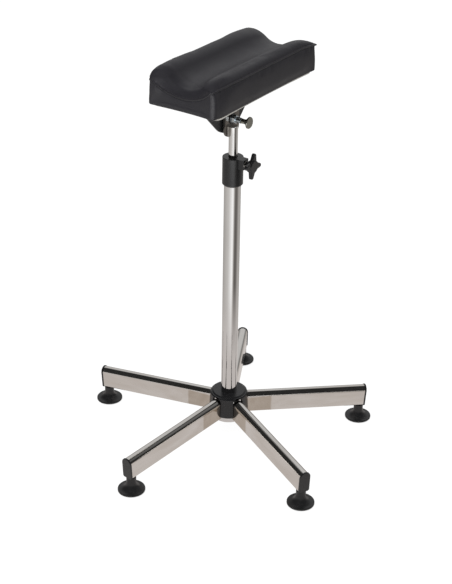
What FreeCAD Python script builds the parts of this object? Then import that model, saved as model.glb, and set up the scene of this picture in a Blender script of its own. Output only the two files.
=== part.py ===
import FreeCAD, Part
import math
import os

# Arm rest stand: five-legged base, telescopic column, tilting pad.
# Millimetres. The origin is on the floor under the column's axis, +Z is up,
# X runs along the pad's long side and -Y is the side of the knob and the pull pin.

os.makedirs("parts", exist_ok=True)

# Shared clearances
overrun = 2.0            # how far a cut runs past the face it opens
run_fit = 0.06           # radial play of a part that turns or slides in another
seat_fit = 0.05          # radial play of a part pressed or screwed into another
face_gap = 0.1           # between faces of one body that lie on each other
soft_gap = 0.3           # between the cushion's layers

# Legs: D-section tube, crest line falling outwards
leg_count = 5
leg_phase = 28.1         # degrees from +X to the first leg
leg_width = 20.0
leg_height = 41.0
leg_wall = 1.5
leg_corner_r = 2.8       # lower edges of the section
leg_end_crest = 74.0     # crest height at the leg's end
leg_fall = 16.0          # drop of the crest from the axis to the leg's end
leg_end_r = 269.0        # the tube's outer end, from the column's axis

# Leg end caps
cap_face = 3.0
cap_proud = 1.0
cap_plug = 14.0
cap_edge_r = 0.8

# Bell glides and their stems
glide_inset = 9.0        # the stem's axis, in from the leg's end
glide_rim_r = 25.0
glide_foot_r = 18.5
glide_tuck = 3.0         # height over which the foot draws in
glide_rim_top = 6.5
glide_edge_r = 1.2
glide_neck_r = 9.0
glide_flare_r = 14.5
glide_recess_r = 14.0
glide_recess = 1.5
stem_r = 5.5
stem_foot = 9.0          # the stem's lower end inside the bell
stem_top = 57.0
stem_groove_z = 52.0
stem_groove = 2.0
stem_groove_depth = 0.6
socket_r = 8.0
socket_top = 61.0

# Hub: ring, two discs, column bolt
hub_ring_r = 33.0
hub_ring_wall = 3.0
hub_ring_foot = 42.0
hub_ring_top = 89.0
hub_plate = 4.0
hub_floor = 53.0         # top face of the lower disc, where the column stands
column_bolt_r = 5.0
column_bolt_len = 22.0   # above the lower disc
bolt_head_af = 17.0
bolt_head = 6.4
washer_r = 10.0
washer_t = 2.0
plug_len = 26.0

# Hub cover: tapered skirt, chamfered shoulder, coned top, recess round the column
cover_foot = 53.2
cover_foot_out = 4.4     # its lower edge, out from the ring
cover_shoulder_out = 2.4
cover_shoulder_over = 2.5
cover_band_in = 0.8      # top of the chamfer, in from the ring's face
cover_band = 4.0
cover_cone = 15.0
cover_peak_r = 19.6
cover_mouth_r = 18.4
cover_recess = 6.5
cover_wall = 2.0
cover_edge_r = 0.8
slot_side = 0.6          # between a leg and its slot
slot_over = 3.2          # over the leg's crest

# Column tube, collar, guide bush
column_r = 15.0
column_wall = 1.5
column_top = 552.0
collar_r = 18.5
collar_grip = 31.0       # how much of the column the collar holds
collar_over = 22.0       # how far it stands over the column
collar_chamfer = 2.6
collar_edge_r = 0.8
collar_mouth = 0.6       # extra radius of the hole round the rod
boss_width = 16.0
boss_reach = 27.2        # from the column's axis to the boss's face
boss_height = 18.0
boss_corner_r = 1.2
bush_len = 32.0

# Height knob: insert, washer, stud, star
insert_r = 5.6
insert_len = 13.0
stud_r = 4.0
stud_gap = 0.3           # between the stud's tip and the rod while it is loose
stud_grip = 14.0         # the stud's length inside the knob
knob_washer_r = 7.4
knob_washer_t = 1.6
knob_gap = 1.6           # bare stud between washer and knob
knob_neck_r = 6.8
knob_neck_root_r = 9.4
knob_neck = 5.5
knob_hub_r = 11.5
knob_thick = 9.5
knob_arms = 4
knob_rest_turn = 10.0    # degrees, clockwise from in front
knob_reach = 23.2
knob_arm_tip_r = 3.9
knob_arm_root_r = 9.6
knob_arm_thick = 6.5
knob_edge_r = 1.5

# Rod and its guide
rod_r = 8.0
rod_show = 38.0          # between the collar and the head plate
rod_lap = 18.0           # height of the half that stands in front of the plate
rod_over_plug = 46.0     # the rod's foot over the column's plug
rod_lap_y = 2.7          # face of the lap, behind the axis
rod_top_chamfer = 0.8
guide_len = 20.0
guide_pin_r = 5.0
guide_play = 0.08
guide_screw_r = 2.5
guide_screw_len = 12.0
guide_head_r = 6.8
guide_head = 3.5

# Head plate and the tilt pivot
plate_t = 4.0
plate_half = 21.0
plate_corner_r = 14.0
plate_side = 36.0        # height of its straight sides
plate_top_r = 16.5
pivot_over = 64.0        # the pivot over the plate's foot
pivot_r = 4.0
pivot_head_r = 8.0
pivot_head = 3.2
cheek_y = 10.5           # near face of the bracket's cheek
cheek_t = 3.0
pivot_spacer_r = 8.0
pivot_washer_r = 8.5
pivot_washer_t = 1.6
pivot_nut_af = 13.0
pivot_nut = 8.0
pivot_tail = 1.5
pivot_bush_r = 5.6

# Pull pin: sleeve, jam nut, washer, spring, pin, turned head
pin_under = 33.0         # the pin under the pivot
pin_nose_r = 3.0
pin_past = 1.0           # how far the nose stands out behind the cheek
pin_collar_r = 4.0
pin_collar = 2.0
pin_stem_r = 2.0
sleeve_r = 5.0
sleeve_back = 8.7        # inner end of the sleeve, behind the axis
sleeve_front = 16.0      # outer end, before the axis
sleeve_nose = 5.7        # length of the bore that guides the nose
sleeve_end = 2.5         # end wall
sleeve_chamber_r = 4.2
flange_r = 9.5
flange_t = 1.5
jam_af = 13.0
jam_t = 6.8
spring_wire_r = 0.4
spring_turns = 5
spring_r = 3.2
head_neck_r = 4.2
head_neck = 6.5
head_flare = 6.5
head_disc_r = 10.3
head_disc = 3.0
head_gap = 1.2           # between sleeve and head while the pin is in
head_grip = 9.0
head_edge_r = 0.6

# Tilt bracket: flange under the pad, V-shaped cheek with a rounded foot
bracket_half = 75.0
bracket_flange_t = 3.0
bracket_front = 38.0     # flange edge before the axis
bracket_bend_r = 5.0
bracket_drop = 59.0      # its lowest point under the pivot
bracket_foot_r = 48.0
bracket_slope = 45.0     # degrees
bracket_corner_r = 8.0
index_step = 15.0        # degrees between two index holes
index_side = 3           # holes each side of the level one
index_play = 0.12

# Cushion: half sizes, heights over the floor
pad_half_x = 151.5
pad_half_y = 66.5
pad_over = 25.0          # the pad's foot over the pivot
pad_corner_r = 7.0
pad_draw_side = 2.8      # how far the long sides draw in at their middle
pad_draw_end = 2.4
cover_skin = 2.0
hem_width = 14.0
board_t = 12.0
panel_t = 2.0
panel_inset = 0.8
panel_end_inset = 4.5    # how much further it stays from the pad's ends
panel_corner_r = 14.0
pad_base_over = 25.0     # how far the raw cushion block runs past its outline

# Cushion sections along X: place, then crest's distance from the middle line, crest height,
# trough height, place where the slope turns, edge height; heights are over the pad's foot
pad_stations = [
    (-154.0, 65.0, 42.2, 22.0, 60.0, 41.8),
    (-151.5, 64.2, 44.0, 23.6, 59.0, 42.4),
    (-148.5, 59.5, 50.4, 28.6, 47.0, 43.6),
    (-143.5, 53.4, 58.0, 33.6, 37.0, 45.2),
    (-135.0, 50.6, 62.6, 36.8, 31.0, 47.0),
    (-118.0, 50.4, 64.4, 38.5, 30.0, 48.6),
    (-85.0, 51.2, 64.9, 39.3, 30.0, 50.4),
    (-35.0, 51.5, 65.0, 39.5, 30.0, 51.6),
    (20.0, 51.5, 65.0, 39.5, 30.0, 51.9),
    (70.0, 51.8, 64.4, 39.6, 30.0, 51.3),
    (100.0, 52.5, 62.4, 39.6, 29.5, 50.5),
    (120.0, 53.5, 59.4, 39.4, 29.0, 49.8),
    (134.5, 55.0, 55.8, 38.9, 29.0, 49.0),
    (143.5, 58.0, 52.2, 36.6, 33.0, 47.8),
    (148.5, 61.0, 49.0, 32.0, 40.0, 46.4),
    (151.5, 63.0, 46.5, 27.5, 44.0, 45.5),
    (154.0, 65.0, 43.6, 23.0, 46.0, 44.8),
]

# Screws that hold the bracket
screw_x = 60.0
screw_front_y = 26.0
screw_back_y = 2.0
screw_r = 2.5
screw_len = 14.0
screw_head_r = 4.8
screw_head = 2.6
tee_r = 4.0
tee_flange_r = 8.5
tee_flange_t = 1.2

# Worked out
leg_slope = math.degrees(math.atan2(leg_fall, leg_end_r))
leg_upright = math.cos(math.radians(leg_slope))
leg_crest_hub = leg_end_crest + leg_fall
leg_end_foot = leg_end_crest - (leg_height + cap_proud) / leg_upright
glide_circle_r = leg_end_r - glide_inset
glide_neck_top = leg_end_foot - soft_gap
cover_foot_r = hub_ring_r + cover_foot_out
cover_shoulder_r = hub_ring_r + cover_shoulder_out
cover_band_r = hub_ring_r - cover_band_in
cover_shoulder = hub_ring_top + cover_shoulder_over
cover_band_top = cover_shoulder + cover_band
cover_peak = cover_band_top + cover_cone
cover_recess_floor = cover_peak - cover_recess
collar_foot = column_top - collar_grip
collar_top = column_top + collar_over
rod_lap_foot = collar_top + rod_show
rod_top = rod_lap_foot + rod_lap
rod_foot = hub_floor + plug_len + rod_over_plug
plate_side_top = rod_lap_foot + plate_side
pivot_z = rod_lap_foot + pivot_over
pin_z = pivot_z - pin_under
bracket_foot = pivot_z - bracket_drop
pad_foot = pivot_z + pad_over
bracket_top = pad_foot - panel_t
bracket_under = bracket_top - bracket_flange_t
cheek_back = cheek_y + cheek_t
plate_back = rod_lap_y + plate_t
boss_z = collar_top - boss_height / 2
hub_floor_under = hub_floor - hub_plate


def vec(x, y, z):
    return FreeCAD.Vector(x, y, z)


up = vec(0, 0, 1)
toward = vec(0, -1, 0)   # out of the knob's side


def rod_between(radius, start, end):
    # round bar between two points
    way = end.sub(start)
    return Part.makeCylinder(radius, way.Length, start, way)


def bar_z(radius, low, high, x=0.0, y=0.0):
    return rod_between(radius, vec(x, y, low), vec(x, y, high))


def ring_z(outer, inner, low, high, x=0.0, y=0.0):
    return bar_z(outer, low, high, x, y).cut(bar_z(inner, low - overrun, high + overrun, x, y))


def bar_y(radius, near, far, z, x=0.0):
    # round bar along Y, from y = near to y = far
    return rod_between(radius, vec(x, near, z), vec(x, far, z))


def ring_y(outer, inner, near, far, z, x=0.0):
    return bar_y(outer, near, far, z, x).cut(bar_y(inner, near - overrun, far + overrun, z, x))


def box(x0, x1, y0, y1, z0, z1):
    return Part.makeBox(x1 - x0, y1 - y0, z1 - z0, vec(x0, y0, z0))


def hexagon_z(across, low, high, x=0.0, y=0.0):
    corner = across / math.sqrt(3)
    points = []
    for i in range(7):
        a = math.radians(60 * i + 30)
        points.append(vec(x + corner * math.cos(a), y + corner * math.sin(a), low))
    return Part.Face(Part.makePolygon(points)).extrude(vec(0, 0, high - low))


def hexagon_y(across, near, far, z):
    solid = hexagon_z(across, 0, far - near)
    solid.rotate(vec(0, 0, 0), vec(1, 0, 0), -90)
    solid.translate(vec(0, near, z))
    return solid


def chain(points):
    # closed wire in one plane; a pair of points (middle, end) is an arc, a single point a line
    edges = []
    last = points[0]
    for item in points[1:] + [points[0]]:
        if isinstance(item, tuple):
            edges.append(Part.Arc(last, item[0], item[1]).toShape())
            last = item[1]
        elif item.sub(last).Length > overrun / 1000:
            edges.append(Part.LineSegment(last, item).toShape())
            last = item
    return Part.Wire(edges)


def turned(points):
    # solid turned about Z from a profile in the XZ plane
    return Part.Face(chain(points)).revolve(vec(0, 0, 0), up, 360)


def pick_edges(solid, test):
    return [e for e in solid.Edges if test(e)]


def circle_edges(solid, radius, height):
    # round edges about the Z axis, of one radius at one height
    def test(e):
        c = e.Curve
        if not isinstance(c, Part.Circle):
            return False
        return abs(c.Radius - radius) < seat_fit and abs(c.Center.z - height) < seat_fit
    return pick_edges(solid, test)


def save(name, shape):
    shape.exportStep("parts/" + name + ".step")


def around(solid, index):
    turnedCopy = solid.copy()
    turnedCopy.rotate(vec(0, 0, 0), up, leg_phase + index * 360.0 / leg_count)
    return turnedCopy


# Legs, caps, glides: each is made on +X and turned to its place

def d_section(shrink, x):
    # D outline in the YZ plane, crest at z = 0, drawn in all round by shrink
    half = leg_width / 2 - shrink
    crown = -leg_width / 2
    foot = -leg_height + shrink
    corner = max(leg_corner_r - shrink, leg_wall / 2)
    skew = corner * (1 - math.sqrt(0.5))
    return chain([
        vec(x, -half, crown),
        (vec(x, 0, crown + half), vec(x, half, crown)),
        vec(x, half, foot + corner),
        (vec(x, half - skew, foot + skew), vec(x, half - corner, foot)),
        vec(x, -half + corner, foot),
        (vec(x, -half + skew, foot + skew), vec(x, -half, foot + corner)),
    ])


def d_bar(shrink, start, end):
    # length of D-section on +X, between two distances from the axis, sloped with the legs
    slant = 1 / math.cos(math.radians(leg_slope))
    solid = Part.Face(d_section(shrink, start * slant)).extrude(vec((end - start) * slant, 0, 0))
    solid.rotate(vec(0, 0, 0), vec(0, 1, 0), leg_slope)
    solid.translate(vec(0, 0, leg_crest_hub))
    return solid


def leg():
    tube = d_bar(0, hub_ring_r - overrun, leg_end_r)
    tube = tube.cut(d_bar(leg_wall, 0, leg_end_r + overrun))
    tube = tube.cut(bar_z(hub_ring_r + face_gap, 0, cover_peak))
    return tube.cut(bar_z(socket_r + seat_fit, 0, socket_top - overrun, glide_circle_r))


def leg_cap():
    face = d_bar(-cap_proud, leg_end_r + face_gap, leg_end_r + cap_face)
    rim = pick_edges(face, lambda e: min(v.X for v in e.Vertexes) > leg_end_r + cap_face / 2)
    face = face.makeFillet(cap_edge_r, rim)
    plug = d_bar(leg_wall + face_gap, leg_end_r - cap_plug, leg_end_r + cap_face / 2)
    plug = plug.cut(d_bar(leg_wall * 2 + face_gap, 0, leg_end_r))
    plug = plug.cut(bar_z(socket_r + soft_gap, 0, leg_crest_hub, glide_circle_r))
    return face.fuse(plug).removeSplitter()


def glide():
    edge_skew = glide_edge_r * (1 - math.sqrt(0.5))
    flare_c = glide_neck_r + glide_flare_r
    flare_mid = glide_flare_r * math.sqrt(0.5)
    flare_z = glide_rim_top + glide_flare_r
    body = turned([
        vec(0, 0, glide_recess),
        vec(glide_recess_r, 0, glide_recess),
        vec(glide_recess_r, 0, 0),
        vec(glide_foot_r, 0, 0),
        vec(glide_rim_r, 0, glide_tuck),
        vec(glide_rim_r, 0, glide_rim_top - glide_edge_r),
        (vec(glide_rim_r - edge_skew, 0, glide_rim_top - edge_skew),
         vec(glide_rim_r - glide_edge_r, 0, glide_rim_top)),
        vec(flare_c, 0, glide_rim_top),
        (vec(flare_c - flare_mid, 0, flare_z - flare_mid), vec(glide_neck_r, 0, flare_z)),
        vec(glide_neck_r, 0, glide_neck_top),
        vec(0, 0, glide_neck_top),
    ])
    body = body.cut(bar_z(stem_r + seat_fit, stem_foot - face_gap, glide_neck_top + overrun))
    body.translate(vec(glide_circle_r, 0, 0))
    return body


def glide_stem():
    stem = bar_z(stem_r, stem_foot, stem_top, glide_circle_r)
    groove = ring_z(stem_r + overrun, stem_r - stem_groove_depth, stem_groove_z,
                    stem_groove_z + stem_groove, glide_circle_r)
    return stem.cut(groove)


def glide_socket():
    # sleeve in the leg's lower wall, cut to the wall's slope
    sleeve = bar_z(socket_r, 0, socket_top, glide_circle_r)
    sleeve = sleeve.cut(bar_z(stem_r + run_fit, -overrun, stem_top + face_gap * 2, glide_circle_r))
    return sleeve.common(d_bar(leg_wall / 2, leg_end_r - 4 * socket_r, leg_end_r))


# Hub

def hub_ring():
    return ring_z(hub_ring_r, hub_ring_r - hub_ring_wall, hub_ring_foot, hub_ring_top)


def hub_disc(top, bore_r):
    return ring_z(hub_ring_r - hub_ring_wall - seat_fit, bore_r, top - hub_plate, top)


def column_plug():
    plug_r = column_r - column_wall - seat_fit
    plug = bar_z(plug_r, hub_floor + face_gap, hub_floor + plug_len)
    return plug.cut(bar_z(column_bolt_r + seat_fit, hub_floor - overrun, hub_floor + plug_len + overrun))


def column_bolt():
    under = hub_floor_under - washer_t - face_gap
    shank = bar_z(column_bolt_r, under, hub_floor + column_bolt_len)
    return shank.fuse(hexagon_z(bolt_head_af, under - bolt_head, under)).removeSplitter()


def column_washer():
    top = hub_floor_under - face_gap / 2
    return ring_z(washer_r, column_bolt_r + seat_fit, top - washer_t, top)


def hub_cover():
    outer = [
        vec(cover_foot_r, 0, cover_foot),
        vec(cover_shoulder_r, 0, cover_shoulder),
        vec(cover_band_r, 0, cover_band_top),
        vec(cover_peak_r, 0, cover_peak),
        vec(cover_mouth_r, 0, cover_peak),
        vec(cover_mouth_r, 0, cover_recess_floor),
        vec(column_r + run_fit, 0, cover_recess_floor),
    ]
    inner = [
        vec(column_r + run_fit, 0, cover_recess_floor - cover_wall),
        vec(cover_peak_r - cover_wall / 2, 0, cover_recess_floor - cover_wall),
        vec(cover_band_r - cover_wall, 0, cover_band_top - cover_wall),
        vec(cover_shoulder_r - cover_wall, 0, cover_shoulder - cover_wall),
        vec(cover_foot_r - cover_wall, 0, cover_foot),
    ]
    shell = turned(outer + inner)
    rims = circle_edges(shell, cover_shoulder_r, cover_shoulder)
    rims += circle_edges(shell, cover_band_r, cover_band_top)
    rims += circle_edges(shell, cover_peak_r, cover_peak)
    shell = shell.makeFillet(cover_edge_r, rims)
    # the slot is the leg's outline widened at its sides, raised over its crest and open below
    half = leg_width / 2 + slot_side
    arch_z = leg_crest_hub - leg_width / 2 + slot_over - slot_side
    reach = cover_foot_r + overrun
    arch = rod_between(half, vec(hub_ring_r - hub_ring_wall, 0, arch_z), vec(reach, 0, arch_z))
    slot = arch.fuse(box(hub_ring_r - hub_ring_wall, reach, -half, half, cover_foot - overrun, arch_z))
    for i in range(leg_count):
        shell = shell.cut(around(slot, i))
    return shell


# Column, collar and what guides the rod

def column_tube():
    return ring_z(column_r, column_r - column_wall, hub_floor + face_gap, column_top)


def collar():
    body = bar_z(collar_r, collar_foot, collar_top)
    body = body.makeChamfer(collar_chamfer, circle_edges(body, collar_r, collar_foot))
    body = body.makeFillet(collar_edge_r, circle_edges(body, collar_r, collar_top))
    boss = box(-boss_width / 2, boss_width / 2, -boss_reach, -column_r, collar_top - boss_height, collar_top)
    def outer_corner(e):
        return max(v.Y for v in e.Vertexes) < -boss_reach + face_gap
    boss = boss.makeFillet(boss_corner_r, pick_edges(boss, outer_corner))
    body = body.fuse(boss).removeSplitter()
    body = body.cut(bar_z(column_r + seat_fit, collar_foot - overrun, column_top + face_gap))
    body = body.cut(bar_z(rod_r + collar_mouth, column_top, collar_top + overrun))
    insert_end = -boss_reach + insert_len + face_gap
    body = body.cut(bar_y(insert_r + seat_fit, -boss_reach - overrun, insert_end, boss_z))
    return body.cut(bar_y(stud_r + soft_gap, -boss_reach, 0, boss_z))


def collar_insert():
    start = -boss_reach + face_gap
    return ring_y(insert_r, stud_r + run_fit, start, start + insert_len - face_gap, boss_z)


def guide_bush():
    return ring_z(column_r - column_wall - seat_fit, rod_r + run_fit, column_top - bush_len, column_top)


# Height knob

knob_seat = -boss_reach - knob_washer_t - face_gap
knob_face = knob_seat - knob_gap


def knob_washer():
    return ring_y(knob_washer_r, stud_r + run_fit, knob_seat, -boss_reach - face_gap, boss_z)


def knob_stud():
    tip = -rod_r - stud_gap
    return bar_y(stud_r, knob_face - stud_grip, tip, boss_z)


def arm_outline(y):
    # one arm: straight tapered sides from the hub to a round tip, drawn up from the knob's axis
    tip_c = knob_reach - knob_arm_tip_r
    return chain([
        vec(-knob_arm_root_r, y, 0),
        vec(-knob_arm_tip_r, y, tip_c),
        (vec(0, y, knob_reach), vec(knob_arm_tip_r, y, tip_c)),
        vec(knob_arm_root_r, y, 0),
    ])


def height_knob():
    neck_end = knob_face - knob_neck
    outer_face = neck_end - knob_thick
    neck = Part.makeCone(knob_neck_r, knob_neck_root_r, knob_neck, vec(0, knob_face, 0), toward)
    star = bar_y(knob_hub_r, outer_face, neck_end, 0)
    star = star.makeFillet(knob_edge_r, pick_edges(star, lambda e: e.BoundBox.YMax < neck_end - face_gap
                                                   and isinstance(e.Curve, Part.Circle)))
    arm_near = neck_end - (knob_thick - knob_arm_thick) / 2
    arm = Part.Face(arm_outline(arm_near)).extrude(vec(0, -knob_arm_thick, 0))
    def rim(e):
        return e.BoundBox.YMax - e.BoundBox.YMin < face_gap and e.BoundBox.ZMax > face_gap
    arm = arm.makeFillet(knob_edge_r, pick_edges(arm, rim))
    for i in range(knob_arms):
        piece = arm.copy()
        piece.rotate(vec(0, 0, 0), vec(0, 1, 0), i * 360.0 / knob_arms)
        star = star.fuse(piece)
    star = star.fuse(neck)
    star = star.cut(bar_y(stud_r + seat_fit, knob_face - stud_grip - face_gap, knob_face + overrun, 0))
    star.rotate(vec(0, 0, 0), vec(0, 1, 0), knob_rest_turn)
    star.translate(vec(0, 0, boss_z))
    return star


# Rod

def rod_guide():
    return ring_z(column_r - column_wall - guide_play, guide_pin_r + run_fit, rod_foot,
                  rod_foot + guide_len)


def rod():
    bar = bar_z(rod_r, rod_foot + guide_len + face_gap, rod_top)
    bar = bar.makeChamfer(rod_top_chamfer, circle_edges(bar, rod_r, rod_top))
    bar = bar.fuse(bar_z(guide_pin_r, rod_foot - face_gap, rod_foot + guide_len + overrun)).removeSplitter()
    lap = box(-rod_r - overrun, rod_r + overrun, rod_lap_y - face_gap / 2, rod_r + overrun,
              rod_lap_foot - face_gap, rod_top + overrun)
    bar = bar.cut(lap)
    return bar.cut(bar_z(guide_screw_r + seat_fit, rod_foot - overrun, rod_foot + guide_screw_len + overrun))


def guide_screw():
    head_top = rod_foot - face_gap * 2
    head = bar_z(guide_head_r, head_top - guide_head, head_top)
    return head.fuse(bar_z(guide_screw_r, head_top - guide_head, rod_foot + guide_screw_len)).removeSplitter()


# Head plate: round-cornered foot, straight sides, then drawn in to a round top about the pivot

def head_plate():
    # the side line leaves (plate_half, plate_side_top) and touches the top circle
    drop = pivot_z - plate_side_top
    turn = math.acos(plate_top_r / math.hypot(plate_half, drop)) - math.atan2(drop, plate_half)
    touch_x = plate_top_r * math.cos(turn)
    touch_z = plate_top_r * math.sin(turn)
    skew = plate_corner_r * (1 - math.sqrt(0.5))
    y = rod_lap_y
    outline = chain([
        vec(-plate_half + plate_corner_r, y, rod_lap_foot),
        vec(plate_half - plate_corner_r, y, rod_lap_foot),
        (vec(plate_half - skew, y, rod_lap_foot + skew), vec(plate_half, y, rod_lap_foot + plate_corner_r)),
        vec(plate_half, y, plate_side_top),
        vec(touch_x, y, pivot_z + touch_z),
        (vec(0, y, pivot_z + plate_top_r), vec(-touch_x, y, pivot_z + touch_z)),
        vec(-plate_half, y, plate_side_top),
        vec(-plate_half, y, rod_lap_foot + plate_corner_r),
        (vec(-plate_half + skew, y, rod_lap_foot + skew),
         vec(-plate_half + plate_corner_r, y, rod_lap_foot)),
    ])
    plate = Part.Face(outline).extrude(vec(0, plate_t, 0))
    plate = plate.cut(bar_y(pivot_r + seat_fit, y - overrun, plate_back + overrun, pivot_z))
    return plate.cut(bar_y(sleeve_r + seat_fit, y - overrun, plate_back + overrun, pin_z))


def pivot_bolt():
    head_face = rod_lap_y - face_gap
    tail = cheek_back + pivot_washer_t + pivot_nut + pivot_tail
    bolt = bar_y(pivot_r, head_face, tail, pivot_z)
    dome_base = vec(0, head_face, pivot_z)
    dome = Part.makeCone(pivot_head_r, pivot_head_r - pivot_head / 2, pivot_head, dome_base, toward)
    return bolt.fuse(dome).removeSplitter()


def pivot_spacer():
    return ring_y(pivot_spacer_r, pivot_r + seat_fit, plate_back + face_gap / 2, cheek_y - face_gap, pivot_z)


def pivot_washer():
    start = cheek_back + face_gap
    return ring_y(pivot_washer_r, pivot_r + seat_fit, start, start + pivot_washer_t, pivot_z)


def pivot_nut_piece():
    start = cheek_back + pivot_washer_t + face_gap * 2
    nut = hexagon_y(pivot_nut_af, start, start + pivot_nut, pivot_z)
    return nut.cut(bar_y(pivot_r + seat_fit, start - overrun, start + pivot_nut + overrun, pivot_z))


# Pull pin, parallel to the pivot

chamber_back = sleeve_back - sleeve_nose
chamber_front = -sleeve_front + sleeve_end


def plunger_sleeve():
    body = bar_y(sleeve_r, -sleeve_front, sleeve_back, pin_z)
    body = body.cut(bar_y(pin_nose_r + run_fit, chamber_back - overrun, sleeve_back + overrun, pin_z))
    body = body.cut(bar_y(sleeve_chamber_r, chamber_front, chamber_back, pin_z))
    return body.cut(bar_y(pin_stem_r + run_fit, -sleeve_front - overrun, chamber_front + overrun, pin_z))


def plunger_washer():
    back = rod_lap_y - face_gap
    return ring_y(flange_r, sleeve_r + seat_fit, back - flange_t, back, pin_z)


def plunger_nut():
    back = rod_lap_y - flange_t - face_gap * 2
    nut = hexagon_y(jam_af, back - jam_t, back, pin_z)
    return nut.cut(bar_y(sleeve_r + seat_fit, back - jam_t - overrun, back + overrun, pin_z))


def plunger_pin():
    nose_tip = cheek_back + pin_past
    nose = bar_y(pin_nose_r, chamber_back - face_gap, nose_tip, pin_z)
    collar_far = chamber_back - face_gap
    ring = bar_y(pin_collar_r, collar_far - pin_collar, collar_far, pin_z)
    stem_end = -sleeve_front - head_gap - head_grip
    stem = bar_y(pin_stem_r, stem_end, collar_far, pin_z)
    return nose.fuse(ring).fuse(stem).removeSplitter()


def plunger_spring():
    # wire wound between the pin's collar and the sleeve's end wall, ends cut flat
    far = chamber_back - pin_collar - face_gap * 2
    length = far - chamber_front - face_gap - spring_wire_r * 2
    helix = Part.makeHelix(length / spring_turns, length, spring_r)
    section = Part.Wire(Part.makeCircle(spring_wire_r, vec(spring_r, 0, 0), vec(0, 1, 0)))
    wire = Part.Wire(helix).makePipeShell([section], True, True)
    wire.rotate(vec(0, 0, 0), vec(1, 0, 0), -90)
    wire.translate(vec(0, chamber_front + face_gap / 2 + spring_wire_r, pin_z))
    return wire


def plunger_knob():
    # shank, trumpet flare and flat disc, turned about the pin's axis
    start = sleeve_front + head_gap
    flare_start = start + head_neck
    disc_start = flare_start + head_flare
    end = disc_start + head_disc
    mid_r = (head_neck_r + head_disc_r) / 2 - head_flare / 8
    mid_z = (flare_start + disc_start) / 2 + head_flare / 8
    body = turned([
        vec(0, 0, start),
        vec(head_neck_r, 0, start),
        vec(head_neck_r, 0, flare_start),
        (vec(mid_r, 0, mid_z), vec(head_disc_r - head_edge_r, 0, disc_start)),
        vec(head_disc_r, 0, disc_start + head_edge_r),
        vec(head_disc_r, 0, end - head_edge_r),
        vec(head_disc_r - head_edge_r, 0, end),
        vec(0, 0, end),
    ])
    body = body.cut(bar_z(pin_stem_r + seat_fit, start - overrun, start + head_grip + face_gap))
    body.rotate(vec(0, 0, 0), vec(1, 0, 0), 90)
    body.translate(vec(0, 0, pin_z))
    return body


# Tilt bracket

def cheek_outline(y):
    # foot arc about the middle line, straight slopes, short upright sides
    lean = math.radians(bracket_slope)
    foot_c = bracket_foot + bracket_foot_r
    side = bracket_foot_r * math.sin(lean)
    side_z = foot_c - bracket_foot_r * math.cos(lean)
    upright_z = side_z + (bracket_half - side) * math.tan(lean)
    top = bracket_top - bracket_bend_r
    return chain([
        vec(-side, y, side_z),
        (vec(0, y, bracket_foot), vec(side, y, side_z)),
        vec(bracket_half, y, upright_z),
        vec(bracket_half, y, top),
        vec(-bracket_half, y, top),
        vec(-bracket_half, y, upright_z),
    ])


def tilt_bracket():
    cheek = Part.Face(cheek_outline(cheek_y)).extrude(vec(0, cheek_t, 0))
    # the flange and the bend are one profile along X
    outer_r = bracket_bend_r
    inner_r = outer_r - cheek_t
    bend_y = cheek_back - outer_r
    bend_z = bracket_top - outer_r
    root = math.sqrt(0.5)
    x = -bracket_half
    profile = chain([
        vec(x, -bracket_front, bracket_top),
        vec(x, -bracket_front, bracket_under),
        vec(x, bend_y, bracket_under),
        (vec(x, bend_y + inner_r * root, bend_z + inner_r * root), vec(x, cheek_y, bend_z)),
        vec(x, cheek_back, bend_z),
        (vec(x, bend_y + outer_r * root, bend_z + outer_r * root), vec(x, bend_y, bracket_top)),
    ])
    flange = Part.Face(profile).extrude(vec(bracket_half * 2, 0, 0))
    def front_corner(e):
        low = max(v.Y for v in e.Vertexes) < -bracket_front + face_gap
        tall = abs(e.Vertexes[0].Z - e.Vertexes[-1].Z) > bracket_flange_t / 2
        return low and tall
    flange = flange.makeFillet(bracket_corner_r, pick_edges(flange, front_corner))
    body = flange.fuse(cheek).removeSplitter()
    body = body.cut(bar_y(pivot_bush_r + seat_fit, cheek_y - overrun, cheek_back + overrun, pivot_z))
    for i in range(-index_side, index_side + 1):
        hole = bar_y(pin_nose_r + index_play, cheek_y - overrun, cheek_back + overrun, pin_z)
        hole.rotate(vec(0, 0, pivot_z), vec(0, 1, 0), i * index_step)
        body = body.cut(hole)
    for x, y in screw_places():
        body = body.cut(bar_z(screw_r + face_gap, bracket_under - overrun, bracket_top + overrun, x, y))
    return body


def pivot_bush():
    return ring_y(pivot_bush_r, pivot_r + run_fit, cheek_y, cheek_back, pivot_z)


def screw_places():
    return [(sx * screw_x, -y) for sx in (-1, 1) for y in (screw_front_y, screw_back_y)]


def bracket_screws():
    group = []
    for x, y in screw_places():
        top = bracket_under - face_gap
        head = bar_z(screw_head_r, top - screw_head, top, x, y)
        under = pick_edges(head, lambda e: e.BoundBox.ZMax < top - screw_head / 2)
        head = head.makeChamfer(screw_head / 3, under)
        group.append(head.fuse(bar_z(screw_r, top - screw_head, top + screw_len, x, y)).removeSplitter())
    return Part.makeCompound(group)


board_foot = pad_foot + cover_skin + face_gap


def tee_nuts():
    group = []
    for x, y in screw_places():
        top = board_foot + board_t
        nut = bar_z(tee_r, board_foot + board_t / 4, top, x, y)
        nut = nut.fuse(bar_z(tee_flange_r, top, top + tee_flange_t, x, y)).removeSplitter()
        group.append(nut.cut(bar_z(screw_r + seat_fit, board_foot - overrun, top + board_t, x, y)))
    return Part.makeCompound(group)


# Cushion

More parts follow.
